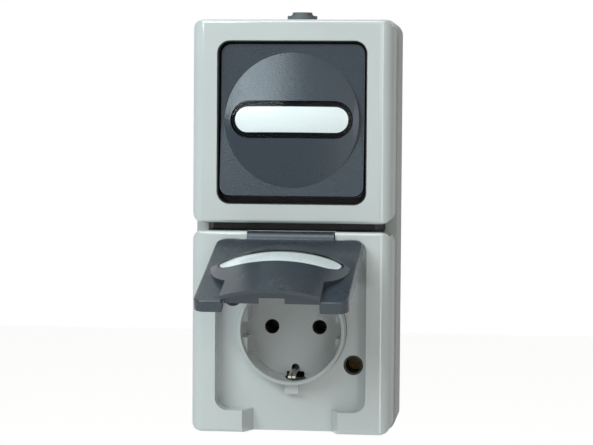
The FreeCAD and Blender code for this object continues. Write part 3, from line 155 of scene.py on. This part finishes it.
def power(name, description, default):
    return bpy.props.FloatProperty(name=name, description=description, unit="POWER",
                                   default=default, min=0)


def position(name, description, default):
    return bpy.props.FloatVectorProperty(name=name, description=description, unit="LENGTH",
                                         subtype="TRANSLATION", default=default)


class HousingFinish(bpy.types.PropertyGroup):
    """Light grey glossy mouldings."""

    body: colour("Housing", "Colour of the covers and the well", (0.455, 0.507, 0.506))
    # Darker than the covers' plastic: painted shade of the box's side faces
    box: colour("Box", "Colour of the duller box on the wall", (0.40, 0.425, 0.415))
    gloss: share("Roughness", "Roughness of the polished mouldings", 0.07)
    ripple: length("Ripple", "Height of the faint waves that moulding leaves", 0.000012)
    edge: length("Edge", "Radius that the mould leaves on crisp edges", 0.00035)


class TrimFinish(bpy.types.PropertyGroup):
    """Blue-grey textured mouldings."""

    body: colour("Trim", "Colour of the rocker", (0.012, 0.021, 0.032))
    # A lighter copy of the rocker's trim colour: painted sheen on the open lid
    lid: colour("Lid", "Colour of the lid", (0.024, 0.033, 0.043))
    sheen: share("Roughness", "Roughness of the eroded mould texture", 0.25)
    grain: length("Grain", "Size of the eroded mould texture", 0.00055)
    depth: length("Grain depth", "Depth of the eroded mould texture", 0.00004)
    edge: length("Edge", "Radius that the mould leaves on crisp edges", 0.0003)


class WindowFinish(bpy.types.PropertyGroup):
    """Clear windows and the labels behind them."""

    clear: colour("Window", "Tint of the clear windows", (0.97, 0.985, 0.98))
    paper: colour("Label", "Colour of the blank labels", (0.77, 0.81, 0.845))


class MetalFinish(bpy.types.PropertyGroup):
    """Contacts, screws and pins."""

    # Brass darkened nearly to black: painted shade on the screws deep in their wells
    brass: colour("Brass", "Colour of the cover screws", (0.045, 0.034, 0.014))
    nickel: colour("Nickel", "Colour of the plated contacts", (0.66, 0.63, 0.57))
    zinc: colour("Zinc", "Colour of the plated steel", (0.60, 0.61, 0.63))


class StageSetup(bpy.types.PropertyGroup):
    """Camera, lamps and floor."""

    camera_place: position("Camera", "Where the camera stands", (0.1003, -0.8675, 0.0432))
    camera_aim: position("Aim", "What the camera looks at", (0.0022, -0.046, 0.00198))
    camera_roll: bpy.props.FloatProperty(
        name="Roll", description="Turn of the camera about its view", subtype="ANGLE",
        unit="ROTATION", default=math.radians(0.4))
    lens: bpy.props.FloatProperty(
        name="Lens", description="Focal length of the camera", subtype="DISTANCE_CAMERA",
        default=129.5, min=10)
    key: power("Key light", "Power of the large lamp at the upper left", 6.0)
    fill: power("Fill light", "Power of the soft lamp beside the camera", 1.8)
    ceiling: power("Ceiling light", "Power of the soft lamp overhead", 5.0)
    strip: power("Strip light", "Power of the tall narrow lamp at the right", 2.7)
    room: bpy.props.FloatProperty(
        name="Room light", description="Strength of the even light all round",
        default=0.15, min=0)


# Materials

class Signal:
    """A socket of a material. Arithmetic with signals adds Math nodes to it."""

    def __init__(self, finish, socket):
        self.finish = finish
        self.socket = socket

    def math(self, operation, *values):
        return self.finish.add("ShaderNodeMath", *values, settings={"operation": operation})

    def __add__(self, other):
        return self.math("ADD", self, other)

    def __rsub__(self, other):
        return self.math("SUBTRACT", other, self)

    def __mul__(self, other):
        return self.math("MULTIPLY", self, other)

    def __pow__(self, other):
        return self.math("POWER", self, other)

    def between(self, low, high):
        """0 below low, 1 above high, smooth in between."""
        return self.finish.add("ShaderNodeMapRange", settings={"interpolation_type": "SMOOTHSTEP"},
                               Value=self, **{"From Min": low, "From Max": high})


class Finish:
    """One material, built round its Principled shader."""

    def __init__(self, name):
        self.material = bpy.data.materials.new(name)
        self.material.use_nodes = True
        self.tree = self.material.node_tree
        self.shader = self.tree.nodes["Principled BSDF"]
        self.place = self.add("ShaderNodeTexCoord", output="Object")

    def add(self, kind, *values, output=0, settings=None, **sockets):
        """A node of a kind, its settings made first, then its values or links."""
        node = self.tree.nodes.new(kind)
        for name, setting in (settings or {}).items():
            setattr(node, name, setting)
        for key, value in [*enumerate(values), *sockets.items()]:
            self.feed(node.inputs[key], value)
        return Signal(self, node.outputs[output])

    def feed(self, socket, value):
        if isinstance(value, Signal):
            self.tree.links.new(value.socket, socket)
        elif socket.type == "RGBA":
            socket.default_value = (*value, 1)
        else:
            socket.default_value = value

    def principled(self, **sockets):
        """Feeds sockets of the shader, named with underscores for spaces."""
        for name, value in sockets.items():
            self.feed(self.shader.inputs[name.replace("_", " ")], value)

    def shaded(self):
        """What the Principled shader gives."""
        return Signal(self, self.shader.outputs["BSDF"])

    def surface(self, signal):
        """Makes a signal the surface, in place of the Principled shader."""
        self.tree.links.new(signal.socket, self.tree.nodes["Material Output"].inputs["Surface"])

    def noise(self, size, detail=3, rough=0.5, place=None):
        """Even noise from 0 to 1 whose blobs have a size in metres."""
        return self.add("ShaderNodeTexNoise", Vector=place or self.place, Scale=1 / size,
                        Detail=detail, Roughness=rough)

    def flow(self, size):
        """The broad soft marks of plastic that flowed into a mould."""
        return self.noise(size, detail=2).between(0.3, 0.7)

    def mix(self, factor, first, second):
        """Goes from one colour to another as the factor goes from 0 to 1."""
        node = self.tree.nodes.new("ShaderNodeMix")
        node.data_type = "RGBA"
        for index, value in zip(MIX_INPUTS, (factor, first, second)):
            self.feed(node.inputs[index], value)
        return Signal(self, node.outputs[MIX_RESULT])

    def bump(self, height, distance, **normal):
        return self.add("ShaderNodeBump", Height=height, Distance=distance, **normal)

    def axis(self, name):
        """Where a point of the surface is along X, Y or Z, in metres."""
        return self.add("ShaderNodeSeparateXYZ", Vector=self.place, output=name)


def seen_directly(tree):
    """1 for what the camera sees, also in a mirror or through a clear piece."""
    path = tree.nodes.new("ShaderNodeLightPath")
    seen = path.outputs["Is Camera Ray"]
    for ray in ("Is Glossy Ray", "Is Transmission Ray"):
        either = tree.nodes.new("ShaderNodeMath")
        either.operation = "MAXIMUM"
        tree.links.new(seen, either.inputs[0])
        tree.links.new(path.outputs[ray], either.inputs[1])
        seen = either.outputs[0]
    return seen


def scaled(tint, factor):
    return tuple(min(1, part * factor) for part in tint)


def polished_housing(name, tint, roughness, ripple):
    """Glossy moulded plastic: faint flow marks and specks, a faint ripple, duller sides."""
    finish = Finish(name)
    across = finish.axis("X")
    sides = across.math("ABSOLUTE", across).between(*SIDES)
    haze = finish.noise(0.014, detail=3)
    speck = finish.noise(0.0006, detail=2).between(0.62, 0.75)
    base = finish.mix(finish.flow(0.045), scaled(tint, 0.97), scaled(tint, 1.02))
    fine = finish.bump(finish.noise(0.0009, detail=2), ripple)
    finish.principled(
        Base_Color=finish.mix(speck * 0.25, base, scaled(tint, 0.9)),
        Roughness=haze * 0.02 + sides * 0.45 + roughness,
        IOR=1.45,
        Coat_Weight=0.7 - sides * 0.7,
        Coat_Roughness=0.1,
        Normal=finish.bump(finish.noise(0.009, detail=1), ripple * BROAD_WAVES, Normal=fine),
    )
    return finish.material


def satin_box(name, tint):
    """The same plastic from a duller mould, with faint flow marks."""
    finish = Finish(name)
    skin = finish.noise(0.0007, detail=3)
    finish.principled(
        Base_Color=finish.mix(finish.flow(0.05), scaled(tint, 0.93), scaled(tint, 0.98)),
        Roughness=skin * 0.1 + 0.55,
        Specular_IOR_Level=0.2,
        Normal=finish.bump(skin, 0.000012),
    )
    return finish.material


def textured_trim(name, tint, roughness, grain, depth):
    """Satin moulded plastic with the fine even grain of an eroded mould."""
    finish = Finish(name)
    grains = finish.noise(grain * 1.3, detail=1)
    dust = finish.noise(grain * 0.7, detail=3, rough=0.6)
    rubbed = finish.noise(0.011, detail=3).between(0.45, 0.75)
    base = finish.mix(finish.flow(0.03), scaled(tint, 0.94), scaled(tint, 1.06))
    finish.principled(
        Base_Color=finish.mix(dust.between(0.35, 0.7), scaled(tint, 0.9), base),
        Roughness=roughness - rubbed * 0.03 + dust * 0.08,
        IOR=1.5,
        Specular_IOR_Level=0.5,
        Specular_Tint=(0.86, 0.95, 1.0),
        Normal=finish.bump(grains + dust, depth),
    )
    return finish.material


def clear_window(name, tint):
    """A polished clear lens: the label shows through it, and its skin mirrors the room."""
    finish = Finish(name)
    haze = finish.noise(0.004, detail=2)
    finish.principled(Base_Color=(0.95, 0.97, 0.98), Metallic=1.0, Roughness=haze * 0.06 + 0.1)
    passing = finish.add("ShaderNodeBsdfTransparent", Color=tint)
    facing = finish.add("ShaderNodeLayerWeight", Blend=0.5, output="Facing")
    finish.surface(finish.add("ShaderNodeMixShader", facing ** 3 * 0.4 + 0.005, passing,
                              finish.shaded()))
    return finish.material


def blank_label(name, tint):
    """Smooth white card with a faint fibre."""
    finish = Finish(name)
    fibre = finish.noise(0.0012, detail=5, rough=0.7)
    finish.principled(
        Base_Color=finish.mix(fibre.between(0.3, 0.8), scaled(tint, 0.97), tint),
        Roughness=fibre * 0.1 + 0.5,
        Normal=finish.bump(fibre, 0.00001),
    )
    return finish.material


def soft_rubber(name, tint):
    """Matt rubber with a bloom in patches."""
    finish = Finish(name)
    bloom = finish.noise(0.005, detail=4).between(0.4, 0.75)
    finish.principled(
        Base_Color=finish.mix(bloom, tint, scaled(tint, 1.25)),
        Roughness=bloom * 0.12 + 0.55,
        Normal=finish.bump(finish.noise(0.0005, detail=2), 0.00002),
    )
    return finish.material


def worked_metal(name, tint, roughness, stretch=(1, 1, 1), painted_shade_depths=None):
    """Drawn or stamped metal: fine lines, a duller film in patches, painted shade further in."""
    finish = Finish(name)
    drawn = finish.add("ShaderNodeMapping", Vector=finish.place, Scale=stretch)
    lines = finish.noise(0.0012, detail=4, rough=0.7, place=drawn)
    film = finish.noise(0.004, detail=3).between(0.4, 0.8)
    base = finish.mix(film * 0.6, tint, scaled(tint, 0.72))
    if painted_shade_depths:
        # Painted shade: the deeper the metal lies in the socket, the darker it is
        base = finish.mix(finish.axis("Y").between(*painted_shade_depths), base, scaled(tint, PAINTED_SHADE_TONE))
    finish.principled(
        Base_Color=base,
        Metallic=1.0,
        Roughness=lines * 0.16 + film * 0.1 + roughness,
        Normal=finish.bump(lines, 0.000008),
    )
    return finish.material


def inner_moulding(name, tint, roughness, shine=0.5):
    """Satin moulding of the hidden carriers, and the near-black painted shade on the windows' rims.
    """
    finish = Finish(name)
    skin = finish.noise(0.0008, detail=3)
    finish.principled(
        Base_Color=finish.mix(finish.flow(0.02), scaled(tint, 0.94), scaled(tint, 1.04)),
        Roughness=skin * 0.1 + roughness,
        Specular_IOR_Level=shine,
        Normal=finish.bump(skin, 0.00001),
    )
    return finish.material


# Pieces

def dress(material, *names):
    """Gives a material to carried-over nodes."""
    for name in names:
        mesh = frame["nodes"][name].data
        mesh.materials.clear()
        mesh.materials.append(material)


def body_with(node):
    return next(body for body, members in frame["record"]["behaviour"]["bodies"].items()
                if node in members)


def piece_of(shape, name, material):
    """Uses up a bmesh for a new object at the origin."""
    mesh = bpy.data.meshes.new(name)
    shape.to_mesh(mesh)
    shape.free()
    mesh.materials.append(material)
    piece = bpy.data.objects.new(name, mesh)
    bpy.context.scene.collection.objects.link(piece)
    return piece


def stand_for(piece, node):
    """Puts a piece in a node's place and on its body."""
    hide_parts(node)
    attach(piece, body_with(node))


def moulded(node, material, radius):
    """A moulded piece that stands for a node: its surface joined up, its crisp edges rounded."""
    shape = bmesh.new()
    shape.from_mesh(frame["nodes"][node].data)
    bmesh.ops.remove_doubles(shape, verts=shape.verts, dist=WELD)
    bmesh.ops.dissolve_degenerate(shape, edges=shape.edges, dist=WELD)
    bmesh.ops.dissolve_limit(shape, verts=shape.verts, edges=shape.edges, angle_limit=FLAT)
    bmesh.ops.recalc_face_normals(shape, faces=shape.faces)
    piece = piece_of(shape, node + "_moulding", material)
    faces = piece.data.polygons
    faces.foreach_set("use_smooth", [True] * len(faces))
    edge = piece.modifiers.new("mould edge", "BEVEL")
    edge.width = radius
    edge.segments = EDGE_SEGMENTS
    edge.limit_method = "ANGLE"
    edge.angle_limit = EDGE_TURN
    edge.use_clamp_overlap = True
    edge.harden_normals = True
    shade = piece.modifiers.new("even shading", "WEIGHTED_NORMAL")
    shade.mode = "FACE_AREA"
    shade.weight = EDGE_WEIGHT
    shade.keep_sharp = True
    stand_for(piece, node)
    return piece


def paint_rim_shade(window, label, front, dark):
    """Paints shade on a window's walls and on its back round the label, as a near-black finish; its
    face stays clear.
    """
    shape = bmesh.new()
    shape.from_mesh(frame["nodes"][label].data)
    near = BVHTree.FromBMesh(shape)
    shape.free()
    mesh = window.data
    mesh.materials.append(dark)
    lifted = set()
    for face in mesh.polygons:
        gap = near.find_nearest(face.center)[3]
        facing = face.normal.dot(front)
        if facing < WALL and gap > LABEL_GAP:
            face.material_index = PAINTED_SHADE_SLOT
            if facing < BACK:
                lifted.update(face.vertices)
    for index in lifted:
        mesh.vertices[index].co += front * BACK_LIFT


def paint_label_edge_shade(label, front, dark):
    """Paints shade on a label's edges and back, as a near-black finish."""
    mesh = label.data
    mesh.materials.append(dark)
    for face in mesh.polygons:
        if face.normal.dot(front) < WALL:
            face.material_index = PAINTED_SHADE_SLOT


# Operators

class MouldHousing(bpy.types.Operator):
    """Dress the covers, the box and the socket's well in polished light grey plastic; the well's is
    darkened as painted shade
    """

    bl_idname = "wall_unit.housing"
    bl_label = "Housing"

    def execute(self, context):
        look = context.scene.housing_finish
        body = tuple(look.body)
        plastic = polished_housing("light grey housing", body, look.gloss, look.ripple)
        for node in ("switch_cover", "socket_cover"):
            moulded(node, plastic, look.edge)
        # A darker copy of the housing plastic: painted shade in the well
        well = polished_housing("light grey well", scaled(body, WELL_PAINTED_SHADE), look.gloss,
                                look.ripple)
        moulded("socket_insert", well, look.edge)
        # The box's tint is darker than the covers': painted shade of its side faces
        moulded("base_box", satin_box("light grey box", tuple(look.box)), look.edge)
        return {"FINISHED"}


class MouldTrim(bpy.types.Operator):
    """Dress the rocker, the lid, the grommet and the seals in plastic and rubber"""

    bl_idname = "wall_unit.trim"
    bl_label = "Rocker and lid"

    def execute(self, context):
        look = context.scene.trim_finish
        rocker = textured_trim("blue-grey trim", tuple(look.body), look.sheen, look.grain,
                               look.depth)
        # The lid trim is lighter than the rocker's: painted sheen on the open lid
        lid = textured_trim("lid trim", tuple(look.lid), look.sheen, look.grain,
                            look.depth * LID_RELIEF)
        moulded("rocker", rocker, look.edge)
        moulded("lid", lid, look.edge)
        dress(soft_rubber("grommet rubber", GROMMET_GREY), "top_grommet")
        dress(soft_rubber("seal rubber", SEAL_GREY),
              "switch_cover_seal", "socket_cover_seal", "lid_gasket")
        # Black rubber of the rocker's seal, also painted shade in the gap round the rocker and in
        # the screw wells
        dress(soft_rubber("black rubber", BLACK_RUBBER_AND_SHADE), "rocker_lining", "screw_sleeves")
        return {"FINISHED"}


class GlazeWindows(bpy.types.Operator):
    """Put clear windows and blank labels in the rocker and the lid, with painted shade on the
    windows' rims and the labels' edges
    """

    bl_idname = "wall_unit.windows"
    bl_label = "Windows and labels"

    def execute(self, context):
        look = context.scene.window_finish
        clear = clear_window("clear window", tuple(look.clear))
        paper = blank_label("label card", tuple(look.paper))
        # Near-black painted shade on the windows' rims and the labels' edges
        rim_shade = inner_moulding("window rim", RIM_PAINTED_SHADE, 0.4, shine=0.0)
        for window, label, lean in WINDOWS:
            front = Matrix.Rotation(math.radians(lean), 3, "X") @ Vector((0, -1, 0))
            paint_rim_shade(moulded(window, clear, WINDOW_EDGE), label, front, rim_shade)
            paint_label_edge_shade(moulded(label, paper, LABEL_EDGE), front, rim_shade)
        return {"FINISHED"}


class LayPaintedShadeStrip(bpy.types.Operator):
    """Lay a black strip between the covers as painted shade in the gap, its ends sloping down to the
    box
    """

    bl_idname = "wall_unit.joint_strip"
    bl_label = "Joint strip"

    def execute(self, context):
        low, high = (Vector(corner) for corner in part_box("joint_strip"))
        shape = bmesh.new()
        bmesh.ops.create_cube(shape, size=1)
        bmesh.ops.scale(shape, vec=high - low, verts=shape.verts)
        bmesh.ops.translate(shape, vec=(low + high) / 2, verts=shape.verts)
        for side in (-1, 1):
            foot = [vert for vert in shape.verts
                    if vert.co.x * side > 0 and vert.co.y > low.y + MM]
            bmesh.ops.translate(shape, vec=(side * STRIP_SLOPE, 0, 0), verts=foot)
        bmesh.ops.bevel(shape, geom=shape.edges[:], offset=STRIP_EDGE, segments=3, profile=0.5,
                        affect="EDGES", material=-1)
        # The strip is black painted shade deep in the gap between the covers
        piece = piece_of(shape, "joint_strip_rubber", soft_rubber("strip rubber", BLACK_RUBBER_AND_SHADE))
        stand_for(piece, "joint_strip")
        return {"FINISHED"}


class DressMetal(bpy.types.Operator):
    """Dress the contacts, screws, frame and hinge pin in metal"""

    bl_idname = "wall_unit.metal"
    bl_label = "Metal parts"

    def execute(self, context):
        look = context.scene.metal_finish
        brass, nickel, zinc = tuple(look.brass), tuple(look.nickel), tuple(look.zinc)
        # The brass is darkened nearly to black as painted shade deep in the screw wells
        dress(worked_metal("cover screw brass", brass, 0.3),
              "switch_cover_screws", "socket_cover_screws")
        dress(worked_metal("plated contact", nickel, 0.16, DRAWN_INWARDS, EARTH_PAINTED_SHADE),
              "earth_strap")
        dress(worked_metal("dull contact", nickel, 0.3, DRAWN_INWARDS, PIN_PAINTED_SHADE),
              "left_contact", "right_contact")
        dress(worked_metal("silvered contact", scaled(nickel, 1.1), 0.2),
              "contact_seesaw", "fixed_contacts")
        dress(worked_metal("zinc steel", zinc, 0.3),
              "switch_frame", "switch_fixing_screws", "socket_fixing_screws",
              "switch_terminal_screws", "socket_terminal_screws", "switch_plunger")
        dress(worked_metal("hinge pin steel", PIN_STEEL, 0.25, DRAWN_ACROSS), "hinge_pin")
        return {"FINISHED"}


class DressCarriers(bpy.types.Operator):
    """Dress the hidden carriers of the switch and the socket"""

    bl_idname = "wall_unit.carriers"
    bl_label = "Inner carriers"

    def execute(self, context):
        dress(inner_moulding("light carrier", CARRIER_LIGHT, 0.45), "switch_body")
        # The dark carrier is near black, partly as painted shade in the socket's pin holes
        dress(inner_moulding("dark carrier", CARRIER_DARK, 0.6, shine=0.15),
              "rocker_cradle", "socket_carrier")
        return {"FINISHED"}


class SetStage(bpy.types.Operator):
    """Set the pale floor, the soft studio lamps and the camera"""

    bl_idname = "wall_unit.stage"
    bl_label = "Stage"

    def execute(self, context):
        look = context.scene.stage_setup
        self.floor()
        self.room(context, look.room)
        for name, (place, size, tint) in LAMPS.items():
            self.lamp(context, name, place, size, tint, getattr(look, name))
        self.camera(context, look)
        context.scene.view_settings.view_transform = "Standard"
        return {"FINISHED"}

    def floor(self):
        """A pale floor that keeps the shadow, looks lit to the camera and is open from below."""
        shape = bmesh.new()
        bmesh.ops.create_grid(shape, x_segments=1, y_segments=1, size=FLOOR_REACH,
                              matrix=Matrix.Translation((0, 0, FLOOR_LEVEL)))
        finish = Finish("studio floor")
        finish.principled(Base_Color=finish.mix(finish.noise(0.4), *FLOOR_TONES), Roughness=0.8)
        glow = finish.add("ShaderNodeEmission", Color=WHITE, Strength=FLOOR_GLOW)
        lit = finish.shaded()
        seen = Signal(finish, seen_directly(finish.tree))
        above = finish.add("ShaderNodeMixShader", seen, lit,
                           finish.add("ShaderNodeAddShader", lit, glow))
        below = finish.add("ShaderNodeNewGeometry", output="Backfacing")
        finish.surface(finish.add("ShaderNodeMixShader", below, above,
                                  finish.add("ShaderNodeBsdfTransparent")))
        piece_of(shape, "studio_floor", finish.material)

    def room(self, context, strength):
        """Even light all round, behind which the camera sees plain white."""
        world = bpy.data.worlds.new("studio")
        world.use_nodes = True
        tree = world.node_tree
        plain = tree.nodes["Background"]
        plain.inputs["Color"].default_value = ROOM_TINT
        plain.inputs["Strength"].default_value = strength
        white = tree.nodes.new("ShaderNodeBackground")
        white.inputs["Color"].default_value = (*WHITE, 1)
        white.inputs["Strength"].default_value = 1.0
        blend = tree.nodes.new("ShaderNodeMixShader")
        tree.links.new(seen_directly(tree), blend.inputs[0])
        tree.links.new(plain.outputs[0], blend.inputs[1])
        tree.links.new(white.outputs[0], blend.inputs[2])
        tree.links.new(blend.outputs[0], tree.nodes["World Output"].inputs["Surface"])
        context.scene.world = world

    def lamp(self, context, name, place, size, tint, strength):
        """A rectangular lamp that is turned to the unit."""
        data = bpy.data.lights.new(name, "AREA")
        data.shape = "RECTANGLE"
        data.size, data.size_y = size
        data.energy = strength
        data.color = tint
        lamp = bpy.data.objects.new(name, data)
        lamp.location = place
        lamp.rotation_euler = (-Vector(place)).to_track_quat("-Z", "Y").to_euler()
        context.scene.collection.objects.link(lamp)

    def camera(self, context, look):
        """The photographer's view, from its place, aim and roll."""
        place = Vector(look.camera_place)
        ahead = (Vector(look.camera_aim) - place).normalized()
        right = ahead.cross(Vector((0, 0, 1))).normalized()
        up = right.cross(ahead)
        turn = look.camera_roll
        right, up = (right * math.cos(turn) + up * math.sin(turn),
                     up * math.cos(turn) - right * math.sin(turn))
        data = bpy.data.cameras.new("photographer")
        data.lens = look.lens
        data.sensor_width = SENSOR_WIDTH
        data.clip_start = NEAREST
        camera = bpy.data.objects.new("photographer", data)
        facing = Matrix((right, up, -ahead)).transposed().to_4x4()
        camera.matrix_world = Matrix.Translation(place) @ facing
        context.scene.collection.objects.link(camera)
        context.scene.camera = camera


STEPS = (MouldHousing, MouldTrim, LayPaintedShadeStrip, GlazeWindows, DressMetal, DressCarriers, SetStage)
SETTINGS = {
    "housing_finish": HousingFinish,
    "trim_finish": TrimFinish,
    "window_finish": WindowFinish,
    "metal_finish": MetalFinish,
    "stage_setup": StageSetup,
}


class WallUnitPanel(bpy.types.Panel):
    """Steps and settings of the wall unit"""

    bl_idname = "VIEW3D_PT_wall_unit"
    bl_label = "Wall unit"
    bl_space_type = "VIEW_3D"
    bl_region_type = "UI"
    bl_category = "Wall unit"

    def draw(self, context):
        for step in STEPS:
            self.layout.operator(step.bl_idname)
        for name, group in SETTINGS.items():
            box = self.layout.box()
            box.label(text=group.__doc__)
            for prop in group.__annotations__:
                box.prop(getattr(context.scene, name), prop)


def register():
    for item in (*SETTINGS.values(), *STEPS, WallUnitPanel):
        bpy.utils.register_class(item)
    for name, group in SETTINGS.items():
        setattr(bpy.types.Scene, name, bpy.props.PointerProperty(type=group))


def unregister():
    for name in SETTINGS:
        delattr(bpy.types.Scene, name)
    for item in (WallUnitPanel, *reversed(STEPS), *SETTINGS.values()):
        bpy.utils.unregister_class(item)


def main():
    register()
    for step in STEPS:
        group, name = step.bl_idname.split(".")
        if getattr(getattr(bpy.ops, group), name)() != {"FINISHED"}:
            raise RuntimeError(step.bl_label + " didn't finish")
    bpy.context.view_layer.update()


if __name__ == "__main__":
    main()
